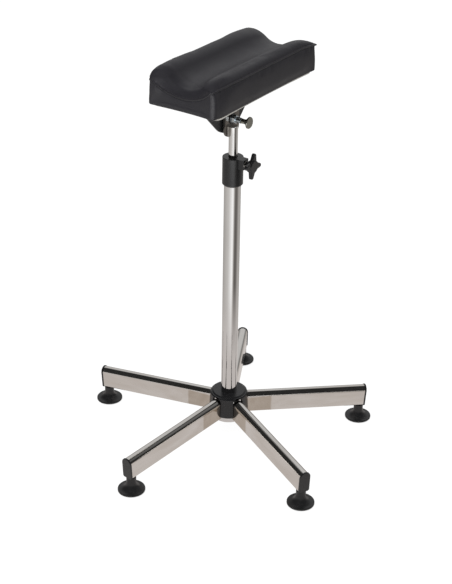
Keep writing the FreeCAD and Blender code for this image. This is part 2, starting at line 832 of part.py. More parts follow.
def pad_outline(shrink, z, corner, end_shrink=0):
    # rounded rectangle whose four sides draw in towards their middles
    hx = pad_half_x - shrink - end_shrink
    hy = pad_half_y - shrink
    c = corner
    skew = c * (1 - math.sqrt(0.5))
    dx = hx - pad_draw_end
    dy = hy - pad_draw_side
    return chain([
        vec(-hx + c, -hy, z),
        (vec(0, -dy, z), vec(hx - c, -hy, z)),
        (vec(hx - skew, -hy + skew, z), vec(hx, -hy + c, z)),
        (vec(dx, 0, z), vec(hx, hy - c, z)),
        (vec(hx - skew, hy - skew, z), vec(hx - c, hy, z)),
        (vec(0, dy, z), vec(-hx + c, hy, z)),
        (vec(-hx + skew, hy - skew, z), vec(-hx, hy - c, z)),
        (vec(-dx, 0, z), vec(-hx, -hy + c, z)),
        (vec(-hx + skew, -hy + skew, z), vec(-hx + c, -hy, z)),
    ])


def pad_prism(shrink, low, high, corner, end_shrink=0):
    return Part.Face(pad_outline(shrink, low, corner, end_shrink)).extrude(vec(0, 0, high - low))


def arc_middle(y0, z0, y1, z1, flat_y):
    # middle of an arc that lies level at flat_y, one of its two ends
    run = abs(y1 - y0)
    fall = abs(z1 - z0)
    across = math.hypot(run, fall) / 2
    down = across * math.tan(math.atan2(fall, run) / 2)
    start_z, end_z = (z0, z1) if flat_y == y0 else (z1, z0)
    way = 1 if flat_y == min(y0, y1) else -1
    return flat_y + way * across, start_z + math.copysign(down, end_z - start_z)


def bolster_section(crest_y, crest, trough, turn_y, edge):
    # half a section from edge to middle: outer arc, crest, inner arc, slope's turn, trough arc
    turn_z = trough + (crest - trough) * turn_y / crest_y
    outer = arc_middle(crest_y, crest, pad_half_y, edge, crest_y)
    inner = arc_middle(turn_y, turn_z, crest_y, crest, crest_y)
    bottom = arc_middle(0.0, trough, turn_y, turn_z, 0.0)
    return [(pad_half_y, edge), outer, (crest_y, crest), inner, (turn_y, turn_z), bottom, (0.0, trough)]


def section_wire(x, half, drop):
    # from a half profile, edge to middle, to a closed section with a flat foot
    def at(side, i):
        y, z = half[i]
        return vec(x, side * y, pad_foot + z - drop)
    foot = pad_foot - pad_base_over
    side_y = pad_half_y + pad_base_over
    edge_z = pad_foot + half[0][1] - drop
    return chain([
        vec(x, -side_y, foot),
        vec(x, -side_y, edge_z),
        at(-1, 0),
        (at(-1, 1), at(-1, 2)),
        (at(-1, 3), at(-1, 4)),
        (at(-1, 5), at(-1, 6)),
        (at(1, 5), at(1, 4)),
        (at(1, 3), at(1, 2)),
        (at(1, 1), at(1, 0)),
        vec(x, side_y, edge_z),
        vec(x, side_y, foot),
    ])


def pad_block(drop):
    # raw block with the cushion's top, lowered by drop
    wires = []
    for x, crest_y, crest, trough, turn_y, edge in pad_stations:
        wires.append(section_wire(x, bolster_section(crest_y, crest, trough, turn_y, edge), drop))
    return Part.makeLoft(wires, True, False)


pad_high = pad_foot + pad_half_y * 2


def cover_top():
    outer = pad_prism(0, pad_foot, pad_high, pad_corner_r).common(pad_block(0))
    return outer.cut(pad_block(cover_skin))


def cover_boxing():
    under = pad_block(cover_skin + face_gap)
    wall = pad_prism(0, pad_foot, pad_high, pad_corner_r).common(under)
    core = pad_prism(cover_skin, pad_foot + cover_skin, pad_high, pad_corner_r - cover_skin)
    wall = wall.cut(core)
    mouth = pad_prism(cover_skin + hem_width, pad_foot - overrun, pad_high, pad_corner_r)
    return wall.cut(mouth)


def foam_core():
    foot = board_foot + board_t + tee_flange_t + face_gap
    under = pad_block(cover_skin + face_gap + soft_gap)
    return pad_prism(cover_skin + soft_gap, foot, pad_high, pad_corner_r - cover_skin).common(under)


def base_board():
    board = pad_prism(cover_skin + soft_gap, board_foot, board_foot + board_t, pad_corner_r - cover_skin)
    for x, y in screw_places():
        board = board.cut(bar_z(tee_r + seat_fit, board_foot - overrun, pad_high, x, y))
    return board


def under_panel():
    low = bracket_top + face_gap
    panel = pad_prism(panel_inset, low, pad_foot - face_gap, panel_corner_r, panel_end_inset)
    for x, y in screw_places():
        panel = panel.cut(bar_z(screw_r + face_gap, bracket_top - overrun, pad_foot + overrun, x, y))
    return panel


for index in range(leg_count):
    number = str(index + 1)
    save("leg_" + number, around(leg(), index))
    save("leg_cap_" + number, around(leg_cap(), index))
    save("glide_" + number, around(glide(), index))
    save("glide_stem_" + number, around(glide_stem(), index))
save("glide_sockets", Part.makeCompound([around(glide_socket(), i) for i in range(leg_count)]))

save("hub_ring", hub_ring())
save("hub_top_plate", hub_disc(hub_ring_top, column_r + seat_fit))
save("hub_bottom_plate", hub_disc(hub_floor, column_bolt_r + face_gap))
save("column_plug", column_plug())
save("column_bolt", column_bolt())
save("column_washer", column_washer())
save("hub_cover", hub_cover())

save("column_tube", column_tube())
save("collar", collar())
save("collar_insert", collar_insert())
save("guide_bush", guide_bush())

save("knob_washer", knob_washer())
save("knob_stud", knob_stud())
save("height_knob", height_knob())

save("rod_guide", rod_guide())
save("rod", rod())
save("guide_screw", guide_screw())
save("head_plate", head_plate())
save("pivot_bolt", pivot_bolt())
save("pivot_spacer", pivot_spacer())
save("pivot_washer", pivot_washer())
save("pivot_nut", pivot_nut_piece())

save("plunger_sleeve", plunger_sleeve())
save("plunger_washer", plunger_washer())
save("plunger_nut", plunger_nut())
save("plunger_spring", plunger_spring())
save("plunger_pin", plunger_pin())
save("plunger_knob", plunger_knob())

save("tilt_bracket", tilt_bracket())
save("pivot_bush", pivot_bush())
save("bracket_screws", bracket_screws())
save("tee_nuts", tee_nuts())
save("base_board", base_board())
save("under_panel", under_panel())
save("foam_core", foam_core())
save("cover_boxing", cover_boxing())
save("cover_top", cover_top())
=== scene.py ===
import bmesh
import bpy
import math
import numpy as np
from mathutils import Matrix, Vector, kdtree


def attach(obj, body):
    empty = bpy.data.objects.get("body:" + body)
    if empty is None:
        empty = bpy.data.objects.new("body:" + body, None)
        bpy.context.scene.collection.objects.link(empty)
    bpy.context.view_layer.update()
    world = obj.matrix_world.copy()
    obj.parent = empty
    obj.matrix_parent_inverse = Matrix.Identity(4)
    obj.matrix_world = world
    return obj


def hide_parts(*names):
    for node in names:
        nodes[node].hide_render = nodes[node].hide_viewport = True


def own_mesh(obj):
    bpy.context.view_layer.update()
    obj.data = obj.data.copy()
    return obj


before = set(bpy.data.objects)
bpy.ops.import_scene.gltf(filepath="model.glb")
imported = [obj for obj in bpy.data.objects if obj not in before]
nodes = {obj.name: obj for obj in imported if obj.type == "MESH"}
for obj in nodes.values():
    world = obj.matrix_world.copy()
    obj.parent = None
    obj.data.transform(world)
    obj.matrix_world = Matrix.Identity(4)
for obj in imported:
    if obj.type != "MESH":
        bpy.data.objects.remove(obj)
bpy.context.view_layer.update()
print("frame loaded:", len(nodes), "nodes")


# Materials

def newMaterial(name):
    mat = bpy.data.materials.new(name)
    mat.use_nodes = True
    tree = mat.node_tree
    return mat, tree, tree.nodes["Principled BSDF"]


def link(tree, source, target):
    tree.links.new(source, target)


def addNode(tree, kind, **values):
    node = tree.nodes.new(kind)
    for key, value in values.items():
        if hasattr(node, key):
            setattr(node, key, value)
        else:
            node.inputs[key].default_value = value
    return node


def mathNode(tree, operation, *values):
    # each value is a socket or a number
    node = addNode(tree, "ShaderNodeMath", operation=operation)
    for place, value in enumerate(values):
        if isinstance(value, float):
            node.inputs[place].default_value = value
        else:
            link(tree, value, node.inputs[place])
    return node.outputs[0]


def times(values, factor):
    return tuple(value * factor for value in values)


def objectCoords(tree):
    return addNode(tree, "ShaderNodeTexCoord").outputs["Object"]


def polarCoords(tree):
    # distance from the column's axis, angle round it and height: as one vector, then each alone
    parts = addNode(tree, "ShaderNodeSeparateXYZ")
    link(tree, objectCoords(tree), parts.inputs["Vector"])
    x, y, height = (parts.outputs[axis] for axis in "XYZ")
    square = mathNode(tree, "ADD", mathNode(tree, "MULTIPLY", x, x), mathNode(tree, "MULTIPLY", y, y))
    radius = mathNode(tree, "SQRT", square)
    angle = mathNode(tree, "ARCTAN2", y, x)
    joined = addNode(tree, "ShaderNodeCombineXYZ")
    for axis, socket in zip("XYZ", (radius, angle, height)):
        link(tree, socket, joined.inputs[axis])
    return joined.outputs["Vector"], radius, angle, height


def scaled(tree, vector, scale):
    mapping = addNode(tree, "ShaderNodeMapping", Scale=scale)
    link(tree, vector, mapping.inputs["Vector"])
    return mapping.outputs["Vector"]


def noiseField(tree, vector, scale, detail):
    field = addNode(tree, "ShaderNodeTexNoise", Scale=scale, Detail=detail)
    link(tree, vector, field.inputs["Vector"])
    return field.outputs["Fac"]


def spread(tree, value, low, high, fromLow=0.3, fromHigh=0.7):
    # one range of values drawn out to another
    node = addNode(tree, "ShaderNodeMapRange")
    ends = {"From Min": fromLow, "From Max": fromHigh, "To Min": low, "To Max": high}
    for key, number in ends.items():
        node.inputs[key].default_value = number
    link(tree, value, node.inputs["Value"])
    return node.outputs["Result"]


def blendColour(tree, factor, first, second):
    ramp = addNode(tree, "ShaderNodeValToRGB")
    ramp.color_ramp.elements[0].color = (*first, 1)
    ramp.color_ramp.elements[1].color = (*second, 1)
    link(tree, factor, ramp.inputs["Fac"])
    return ramp.outputs["Color"]


def bumpFrom(tree, height, strength, distance, below=None):
    bump = addNode(tree, "ShaderNodeBump", Strength=strength, Distance=distance)
    link(tree, height, bump.inputs["Height"])
    if below is not None:
        link(tree, below, bump.inputs["Normal"])
    return bump.outputs["Normal"]


def coat(tree, shader, colour, rough, normal):
    # the three sockets that most finishes set from a pattern
    link(tree, colour, shader.inputs["Base Color"])
    link(tree, rough, shader.inputs["Roughness"])
    link(tree, normal, shader.inputs["Normal"])


# In the looks below, a pair that names a pattern is its scale and its detail
# "rough" is the roughness, its range, or the shares of it between which it moves

steelLook = {
    "lineDetail": 4.0,
    "hazeDetail": 3.0,
    "lineHeight": 0.0002,
    "hubReflectionReach": (0.080, 0.083),      # painted reflection of the hub on a leg's inner end, darker and browner: its distance from the axis, and its height
    "hubReflectionHeight": (0.0765, 0.078),
    "hubReflectionColour": (0.74, 0.69, 0.63),
}


def polishedSteel(name, colour, dark, rough, hazeScale, lineScale, lineDepth, alongLeg=False):
    # bright tube with faint drawn lines along it and soft hazy patches
    mat, tree, shader = newMaterial(name)
    shader.inputs["Metallic"].default_value = 1.0
    vector = polarCoords(tree)[0] if alongLeg else objectCoords(tree)
    lines = noiseField(tree, scaled(tree, vector, lineScale), 1.0, steelLook["lineDetail"])
    haze = noiseField(tree, scaled(tree, vector, hazeScale), 1.0, steelLook["hazeDetail"])
    steel = blendColour(tree, spread(tree, haze, 0.0, 1.0), dark, colour)
    # a leg's inner end near the hub is darkened and browned: painted reflection of the hub
    if alongLeg:
        _, radius, _, height = polarCoords(tree)
        close = spread(tree, radius, 1.0, 0.0, *steelLook["hubReflectionReach"])
        low = spread(tree, height, 1.0, 0.0, *steelLook["hubReflectionHeight"])
        hubReflected = addNode(tree, "ShaderNodeMixRGB", blend_type="MULTIPLY")
        hubReflected.inputs["Color2"].default_value = (*steelLook["hubReflectionColour"], 1)
        link(tree, mathNode(tree, "MULTIPLY", close, low), hubReflected.inputs["Fac"])
        link(tree, steel, hubReflected.inputs["Color1"])
        steel = hubReflected.outputs["Color"]
    coat(tree, shader, steel, spread(tree, haze, *rough), bumpFrom(tree, lines, lineDepth, steelLook["lineHeight"]))
    return mat


satinLook = {
    "cloud": (120.0, 4.0),
    "grain": (2600.0, 2.0),
    "darkest": 0.8,
    "rough": (0.8, 1.3),
    "grainDepth": 0.12,
    "grainHeight": 0.0002,
}


def satinSteel(name, colour, rough):
    # zinc-plated turned parts: cloudy colour, fine grain
    mat, tree, shader = newMaterial(name)
    shader.inputs["Metallic"].default_value = 1.0
    vector = objectCoords(tree)
    cloud = noiseField(tree, vector, *satinLook["cloud"])
    grain = noiseField(tree, vector, *satinLook["grain"])
    coat(tree, shader, blendColour(tree, cloud, times(colour, satinLook["darkest"]), colour),
         spread(tree, cloud, *times(satinLook["rough"], rough)),
         bumpFrom(tree, grain, satinLook["grainDepth"], satinLook["grainHeight"]))
    return mat


mouldingLook = {
    "rub": (55.0, 3.0),
    "grainDetail": 2.0,
    "grainHeight": 0.0003,
    "tones": (0.8, 1.25),     # darkest and lightest share of the colour
    "rough": (0.85, 1.15),
}


def mouldedPlastic(name, colour, rough, grainSize=0.0005, grainDepth=0.2):
    # fine spark texture, slightly polished where hands and feet rub it
    mat, tree, shader = newMaterial(name)
    vector = objectCoords(tree)
    grain = noiseField(tree, vector, 1 / grainSize, mouldingLook["grainDetail"])
    rub = noiseField(tree, vector, *mouldingLook["rub"])
    darkest, lightest = mouldingLook["tones"]
    coat(tree, shader, blendColour(tree, rub, times(colour, darkest), times(colour, lightest)),
         spread(tree, rub, *times(mouldingLook["rough"], rough)),
         bumpFrom(tree, grain, grainDepth, mouldingLook["grainHeight"]))
    return mat


paintLook = {
    "peel": (700.0, 2.0),
    "wear": (90.0, 5.0),
    "lightest": 1.5,
    "rough": (0.28, 0.42),
    "peelDepth": 0.12,
    "peelHeight": 0.0004,
}


def paintedSteel(name, colour):
    # black paint with a slight orange peel, worn paler in patches
    mat, tree, shader = newMaterial(name)
    vector = objectCoords(tree)
    peel = noiseField(tree, vector, *paintLook["peel"])
    wear = noiseField(tree, vector, *paintLook["wear"])
    coat(tree, shader, blendColour(tree, wear, colour, times(colour, paintLook["lightest"])),
         spread(tree, wear, *paintLook["rough"]),
         bumpFrom(tree, peel, paintLook["peelDepth"], paintLook["peelHeight"]))
    return mat


plyLook = {
    "grainScale": (8, 160, 900),
    "grainDetail": 5.0,
    "grainDepth": 0.2,
    "grainHeight": 0.0004,
    "waviness": 0.4,
    "rough": 0.7,
}


def plyWood(name, pale, dark, layers):
    # plies as thin layers in height, grain along X
    mat, tree, shader = newMaterial(name)
    vector = objectCoords(tree)
    grain = noiseField(tree, scaled(tree, vector, plyLook["grainScale"]), 1.0, plyLook["grainDetail"])
    ply = addNode(tree, "ShaderNodeTexWave", bands_direction="Z", Scale=layers, Distortion=plyLook["waviness"])
    link(tree, vector, ply.inputs["Vector"])
    mixed = mathNode(tree, "MULTIPLY", grain, ply.outputs["Fac"])
    link(tree, blendColour(tree, mixed, dark, pale), shader.inputs["Base Color"])
    shader.inputs["Roughness"].default_value = plyLook["rough"]
    link(tree, bumpFrom(tree, grain, plyLook["grainDepth"], plyLook["grainHeight"]), shader.inputs["Normal"])
    return mat


vinylLook = {
    "colour": (0.0225, 0.0215, 0.0262),
    "tones": (0.85, 1.2),
    "patches": (28.0, 3.0),
    "fine": (1500.0, 2.0),
    "fineDepth": 0.15,
    "fineHeight": 0.0001,
    "pebbleSize": 0.0011,
    "creaseWidth": 0.18,      # share of a pebble
    "creaseDepth": 0.5,
    "creaseHeight": 0.00005,
    "roughness": 0.42,
    "rough": (0.9, 1.12),
}


def blackVinyl():
    # upholstery vinyl: small pebbles with creases between them, slow change in gloss
    mat, tree, shader = newMaterial("blackVinyl")
    vector = objectCoords(tree)
    pebbleScale = 1 / vinylLook["pebbleSize"]
    pebble = addNode(tree, "ShaderNodeTexVoronoi", feature="DISTANCE_TO_EDGE", Scale=pebbleScale)
    link(tree, vector, pebble.inputs["Vector"])
    crease = spread(tree, pebble.outputs["Distance"], 0.0, 1.0, 0.0, vinylLook["creaseWidth"])
    slow = noiseField(tree, vector, *vinylLook["patches"])
    fine = noiseField(tree, vector, *vinylLook["fine"])
    darkest, lightest = (times(vinylLook["colour"], tone) for tone in vinylLook["tones"])
    under = bumpFrom(tree, fine, vinylLook["fineDepth"], vinylLook["fineHeight"])
    coat(tree, shader, blendColour(tree, slow, darkest, lightest),
         spread(tree, slow, *times(vinylLook["rough"], vinylLook["roughness"])),
         bumpFrom(tree, crease, vinylLook["creaseDepth"], vinylLook["creaseHeight"], under))
    return mat


chromeTube = polishedSteel("chromeTube", colour=(0.80, 0.79, 0.78), dark=(0.75, 0.74, 0.73), rough=(0.04, 0.08),
                           hazeScale=(30, 30, 10), lineScale=(700, 700, 4), lineDepth=0.0025)
legSteel = polishedSteel("legSteel", colour=(0.80, 0.78, 0.755), dark=(0.69, 0.655, 0.615), rough=(0.05, 0.12),
                         hazeScale=(7, 26, 60), lineScale=(6, 900, 1800), lineDepth=0.0015, alongLeg=True)
# the head plate's chrome is given a dark brown colour: painted reflection of a dark room
headSteelDarkReflection = polishedSteel("headSteelDarkReflection", colour=(0.24, 0.22, 0.20), dark=(0.13, 0.12, 0.11), rough=(0.10, 0.20),
                          hazeScale=(60, 60, 60), lineScale=(900, 900, 60), lineDepth=0.010)
# the knob's steel is given a dark brownish colour: painted reflection of the dark floor
pullSteelDarkReflection = satinSteel("pullSteelDarkReflection", colour=(0.36, 0.36, 0.32), rough=0.22)
# zinc tinted blue: painted reflection of a blue-white light
zincBlueReflection = satinSteel("zincBlueReflection", colour=(0.68, 0.75, 0.80), rough=0.20)
zincSteel = satinSteel("zincSteel", colour=(0.62, 0.61, 0.58), rough=0.3)
brassTurned = satinSteel("brassTurned", colour=(0.72, 0.55, 0.27), rough=0.3)
blackMoulding = mouldedPlastic("blackMoulding", colour=(0.013, 0.013, 0.014), rough=0.27, grainSize=0.0009,
                               grainDepth=0.012)
footMoulding = mouldedPlastic("footMoulding", colour=(0.014, 0.014, 0.015), rough=0.36, grainSize=0.0008,
                              grainDepth=0.05)
paleNylon = mouldedPlastic("paleNylon", colour=(0.70, 0.69, 0.65), rough=0.45)
blackSteel = paintedSteel("blackSteel", colour=(0.018, 0.018, 0.019))
boardWood = plyWood("boardWood", pale=(0.55, 0.40, 0.24), dark=(0.32, 0.21, 0.12), layers=110.0)
palePanel = plyWood("palePanel", pale=(0.72, 0.70, 0.66), dark=(0.58, 0.55, 0.50), layers=60.0)
vinyl = blackVinyl()

nodeFinish = {               # by how a node's name begins, and zincSteel for the rest
    "column_tube": chromeTube, "rod": chromeTube, "hub_ring": chromeTube,
    "leg": legSteel,
    "head_plate": headSteelDarkReflection,
    "plunger_knob": pullSteelDarkReflection,
    "plunger_sleeve": zincBlueReflection, "plunger_nut": zincBlueReflection, "plunger_pin": zincBlueReflection,
    "collar_insert": brassTurned, "pivot_bush": brassTurned,
    "leg_cap": blackMoulding, "hub_cover": blackMoulding, "glide_sockets": blackMoulding,
    "collar": blackMoulding, "height_knob": blackMoulding,
    "glide": footMoulding,
    "glide_stem": zincSteel,
    "rod_guide": paleNylon, "guide_bush": paleNylon,
    "tilt_bracket": blackSteel, "plunger_washer": blackSteel,
    "base_board": boardWood,
    "under_panel": palePanel,
}


def finishFor(node):
    best = max((key for key in nodeFinish if node.startswith(key)), key=len, default=None)
    return nodeFinish[best] if best else zincSteel


for nodeName, nodeObject in nodes.items():
    nodeObject.data.materials.clear()
    nodeObject.data.materials.append(finishFor(nodeName))
print("finishes set")


# Hub cover: its top is level, a little domed, and fits close round the column
# The solid's cone is pressed flat for it, in millimetres

hubTop = {
    "rim": 95.5,             # height and radius of the cone's foot, where the level top lies
    "rimRadius": 32.2,
    "peak": 110.5,           # and of its upper edge
    "peakRadius": 19.6,
    "recess": 103.5,         # above this, every point belongs to the top
    "skin": 2.0,             # a point this near the cone's outside belongs to it
    "wall": 93.4,            # underside of the level top
    "pressed": 0.04,         # share of the inside's height that is kept over it
    "rise": 0.5,             # of the dome
    "sharpAngle": 28,
    "weld": 0.00001,         # in metres
}


def makeHubCover():
    source = nodes["hub_cover"].data
    work = bmesh.new()
    work.from_mesh(source)
    bmesh.ops.remove_doubles(work, verts=work.verts, dist=hubTop["weld"])
    slope = (hubTop["rimRadius"] - hubTop["peakRadius"]) / (hubTop["peak"] - hubTop["rim"])
    for vert in work.verts:
        height = vert.co.z * 1000
        radius = math.hypot(vert.co.x, vert.co.y) * 1000
        outside = radius > hubTop["rimRadius"] - slope * (height - hubTop["rim"]) - hubTop["skin"]
        if height > hubTop["recess"] or (height > hubTop["rim"] and outside):
            share = (hubTop["rimRadius"] - radius) / hubTop["rimRadius"]
            vert.co.z = (hubTop["rim"] + hubTop["rise"] * share ** 0.5) / 1000
        elif height > hubTop["wall"]:
            vert.co.z = (hubTop["wall"] + hubTop["pressed"] * (height - hubTop["wall"])) / 1000
    bmesh.ops.recalc_face_normals(work, faces=work.faces)
    points = [tuple(vert.co) for vert in work.verts]
    work.verts.index_update()
    faces = [tuple(vert.index for vert in face.verts) for face in work.faces]
    work.free()
    mesh = bpy.data.meshes.new("hubCoverLevel")
    mesh.from_pydata(points, [], faces)
    mesh.update()
    mesh.shade_smooth()
    mesh.set_sharp_from_angle(angle=math.radians(hubTop["sharpAngle"]))
    mesh.materials.append(blackMoulding)
    piece = bpy.data.objects.new("hubCoverLevel", mesh)
    bpy.context.scene.collection.objects.link(piece)
    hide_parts("hub_cover")
    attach(piece, "base")
    return piece


hubCover = makeHubCover()
print("hub cover made:", len(hubCover.data.polygons), "faces")


# Pull pin's spring: a copy of the part's mesh, carried with the rod


def makeSpring():
    mesh = nodes["plunger_spring"].data.copy()
    mesh.name = "pullSpring"
    piece = bpy.data.objects.new("pullSpring", mesh)
    bpy.context.scene.collection.objects.link(piece)
    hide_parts("plunger_spring")
    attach(piece, "rod")
    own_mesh(piece)


makeSpring()
print("spring made")


# Cushion: stations along its length, in millimetres over the pad's foot

pad = {
    "foot": 701.0,
    "halfLength": 151.5,
    "halfWidth": 66.5,
    "rounding": {(-1, -1): 9.0, (1, -1): 7.0, (-1, 1): 7.0, (1, 1): 7.0},    # of each corner, side in x and y
    "drawSide": {-1: 0.8, 1: 2.8},
    "drawEnd": 2.4,
    "bulge": 0.9,            # of the boxing, at half its height
    "bulgePower": 1.2,
    "lift": 0.1,             # of the lower edge over the foot
    "roll": 2.2,             # of the lower edge
    "rollTurns": (30, 60, 90),
    "underside": 0.93,       # share of the outline at which the underside closes
    "crestSamples": 400,
    "arcPoints": (40, 30, 30),        # along the trough, the bolster and its outer slope
    "leastSlope": (0.8, 0.05),        # run and fall of the outer slope
    "spacing": 1.35,         # of the surface grid
    "closeRows": (0, 0.4, 0.8, 1.2, 1.6, 2.05, 2.6, 3.3, 4.2, 5.3),     # its first rows, from the seam
    "furtherRings": (6.6, 8.2),       # and two more that only the boxing has
    "closeShare": 0.6,       # of the boxing's height, for all of these
    "fineRings": 16,         # below them
    "coarseRings": 7,
    "corners": {             # side in x and y: how far the corner moves in x and y, and its seam's ear stands out
        (-1, -1): (-1.6, 2.4, 0.5), (1, -1): (1.6, -2.0, 8.0), (-1, 1): (-0.8, 1.2, 0.0), (1, 1): (1.0, 1.0, 1.5),
    },
    "cornerReach": 22.0,
    "earReach": (4.0, 1.5),  # from the corner and from the seam
    "earAside": 0.707,
    "nearStations": [        # the side to -Y: x, crest's y, crest, trough, turn's y, edge
        (-154.0, 64.5, 46.2, 22.0, 60.0, 46.0), (-151.5, 64.0, 46.6, 23.3, 59.0, 46.3),
        (-148.5, 56.0, 48.6, 28.8, 44.0, 46.6), (-143.5, 52.0, 52.0, 33.8, 36.0, 47.2),
        (-135.0, 51.0, 56.6, 36.8, 34.0, 48.2), (-118.0, 52.5, 60.2, 38.5, 35.0, 49.4),
        (-85.0, 54.5, 61.8, 39.3, 36.0, 50.4), (-35.0, 55.0, 62.0, 39.5, 36.0, 51.0),
        (20.0, 55.0, 62.4, 39.5, 36.0, 51.6), (70.0, 55.0, 62.2, 39.6, 35.5, 51.6),
        (100.0, 55.2, 60.8, 39.6, 34.5, 51.0), (120.0, 55.8, 58.4, 39.4, 33.5, 49.8),
        (134.5, 57.0, 55.2, 38.9, 33.0, 48.4), (143.5, 59.0, 52.0, 37.2, 36.0, 47.0),
        (148.5, 61.5, 49.2, 34.0, 42.0, 45.8), (151.5, 63.2, 46.7, 30.0, 46.0, 45.1),
        (154.0, 65.0, 45.2, 26.0, 48.0, 44.6),
    ],
    "farStations": [         # the side to +Y, the same way
        (-154.0, 65.2, 41.6, 22.0, 60.0, 41.4), (-151.5, 64.3, 43.4, 23.3, 58.0, 41.7),
        (-148.5, 60.0, 50.4, 28.8, 46.0, 42.5), (-143.5, 57.0, 57.6, 33.8, 38.0, 43.7),
        (-135.0, 55.6, 62.2, 36.8, 33.0, 44.9), (-118.0, 54.2, 64.4, 38.5, 31.5, 46.2),
        (-85.0, 52.8, 65.3, 39.3, 30.5, 47.8), (-35.0, 51.5, 65.0, 39.5, 30.0, 49.5),
        (20.0, 51.5, 65.0, 39.5, 30.0, 49.9), (70.0, 51.8, 64.4, 39.6, 30.0, 49.3),
        (100.0, 52.0, 62.6, 39.6, 29.0, 48.5), (120.0, 52.2, 60.4, 39.4, 28.0, 47.9),
        (134.5, 53.0, 56.6, 38.9, 27.0, 47.1), (143.5, 55.5, 53.2, 37.0, 28.0, 46.2),
        (148.5, 59.0, 50.2, 33.5, 34.0, 45.4), (151.5, 62.0, 48.0, 30.0, 40.0, 44.9),
        (154.0, 65.0, 45.0, 26.0, 44.0, 44.4),
    ],
}
stationX = np.array([row[0] for row in pad["farStations"]])
stationSides = {}
for sideName, sign in (("nearStations", -1), ("farStations", 1)):
    sideRows = np.array([row[1:] for row in pad[sideName]])
    stationSides[sign] = sideRows, np.gradient(sideRows, stationX, axis=0)


def stationAt(x, sign):
    # smooth cubic curve through the stations
    rows, slopes = stationSides[sign]
    i = int(np.clip(np.searchsorted(stationX, x) - 1, 0, len(stationX) - 2))
    h = stationX[i + 1] - stationX[i]
    t = (x - stationX[i]) / h
    before = (2 * t ** 3 - 3 * t ** 2 + 1) * rows[i] + (t ** 3 - 2 * t ** 2 + t) * h * slopes[i]
    return before + (3 * t ** 2 - 2 * t ** 3) * rows[i + 1] + (t ** 3 - t ** 2) * h * slopes[i + 1]


def levelArc(run, fall, count):
    # points from (0, 0), level there, to (run, fall)
    half = math.atan2(fall, run)
    radius = math.hypot(run, fall) / 2 / math.sin(half)
    turn = np.linspace(0, 2 * half, count)
    return radius * np.sin(turn), radius * (1 - np.cos(turn))


def halfProfile(x, shrink, sign):
    # (y, z) from the middle of the trough to the seam, in three arcs
    crestY, crest, trough, turnY, edge = stationAt(x, sign)
    width = pad["halfWidth"] - pad["drawSide"][sign] * (1 - min(1.0, abs(x) / pad["halfLength"]) ** 2)
    turnZ = trough + (crest - trough) * turnY / crestY
    troughCount, crestCount, slopeCount = pad["arcPoints"]
    leastRun, leastFall = pad["leastSlope"]
    run, fall = levelArc(turnY, turnZ - trough, troughCount)
    inner = np.stack([run, trough + fall], 1)
    run, fall = levelArc(crestY - turnY, crest - turnZ, crestCount)
    bolster = np.stack([crestY - run, crest - fall], 1)[::-1]
    run, fall = levelArc(max(width - crestY, leastRun), max(crest - edge, leastFall), slopeCount)
    outer = np.stack([crestY + run, crest - fall], 1)
    line = np.concatenate([inner, bolster[1:], outer[1:]])
    return (line * ((width - shrink) / width, 1) - (0, shrink)) * (sign, 1)


def wholeProfile(x, shrink):
    return np.concatenate([halfProfile(x, shrink, -1)[::-1], halfProfile(x, shrink, 1)[1:]])


def evenly(line, places):
    # points at these shares of the line's length, and that length
    steps = np.linalg.norm(np.diff(line, axis=0), axis=1)
    along = np.concatenate([[0], np.cumsum(steps)])
    total = along[-1]
    return np.stack([np.interp(places * total, along, line[:, k]) for k in range(line.shape[1])], 1), total


def edgeSteps(total, spacing):
    # places from 0 to 1, close together near both ends
    near = np.array(pad["closeRows"])
    middle = np.linspace(near[-1], total - near[-1], max(4, int((total - 2 * near[-1]) / spacing)))
    return np.concatenate([near[:-1], middle, (total - near[:-1])[::-1]]) / total


def padSurface(spacing, shrink, fine):
    # grid of points over the top, and the distance of each from the seam
    long = pad["halfLength"]
    xs = np.linspace(-long, long, pad["crestSamples"])
    crestLine = np.array([(x, stationAt(x, 1)[1]) for x in xs])
    ends = np.array([0.0, 1.0])
    crestLength = evenly(crestLine, ends)[1]
    sideLength = evenly(wholeProfile(0, 0), ends)[1]
    if fine:
        u, v = edgeSteps(crestLength, spacing), edgeSteps(sideLength, spacing)
    else:
        u = np.linspace(0, 1, int(crestLength / spacing))
        v = np.linspace(0, 1, int(sideLength / spacing))
    rows = evenly(crestLine, u)[0][:, 0]
    grid = np.zeros((len(u), len(v), 3))
    away = np.zeros((len(u), len(v)))
    for i, x in enumerate(rows):
        line, total = evenly(wholeProfile(x, shrink), v)
        grid[i, :, 0] = x * (long - shrink) / long
        grid[i, :, 1:] = line
        away[i] = np.minimum(min(u[i], 1 - u[i]) * crestLength, np.minimum(v, 1 - v) * total)
    # rounded corners, then ends that draw in
    corner = np.zeros_like(away)
    for (sx, sy), size in pad["rounding"].items():
        corner[(grid[:, :, 0] * sx >= 0) & (grid[:, :, 1] * sy >= 0)] = size
    nearWidth, farWidth = -grid[:, :, 1].min(axis=1)[:, None], grid[:, :, 1].max(axis=1)[:, None]
    width = np.where(grid[:, :, 1] < 0, nearWidth, farWidth)
    pastX = np.clip(np.abs(grid[:, :, 0]) - (long - shrink - corner), 0, None)
    pastY = np.clip(np.abs(grid[:, :, 1]) - (width - corner), 0, None)
    newX = np.abs(grid[:, :, 0]) - pastX + pastX * np.sqrt(1 - pastY ** 2 / (2 * corner ** 2))
    newY = np.abs(grid[:, :, 1]) - pastY + pastY * np.sqrt(1 - pastX ** 2 / (2 * corner ** 2))
    draw = 1 - pad["drawEnd"] / long * (1 - (newY / width) ** 2)
    grid[:, :, 0] = np.sign(grid[:, :, 0]) * newX * draw
    grid[:, :, 1] = np.sign(grid[:, :, 1]) * newY
    grid[:, :, 2] += pad["foot"]
    return grid, away


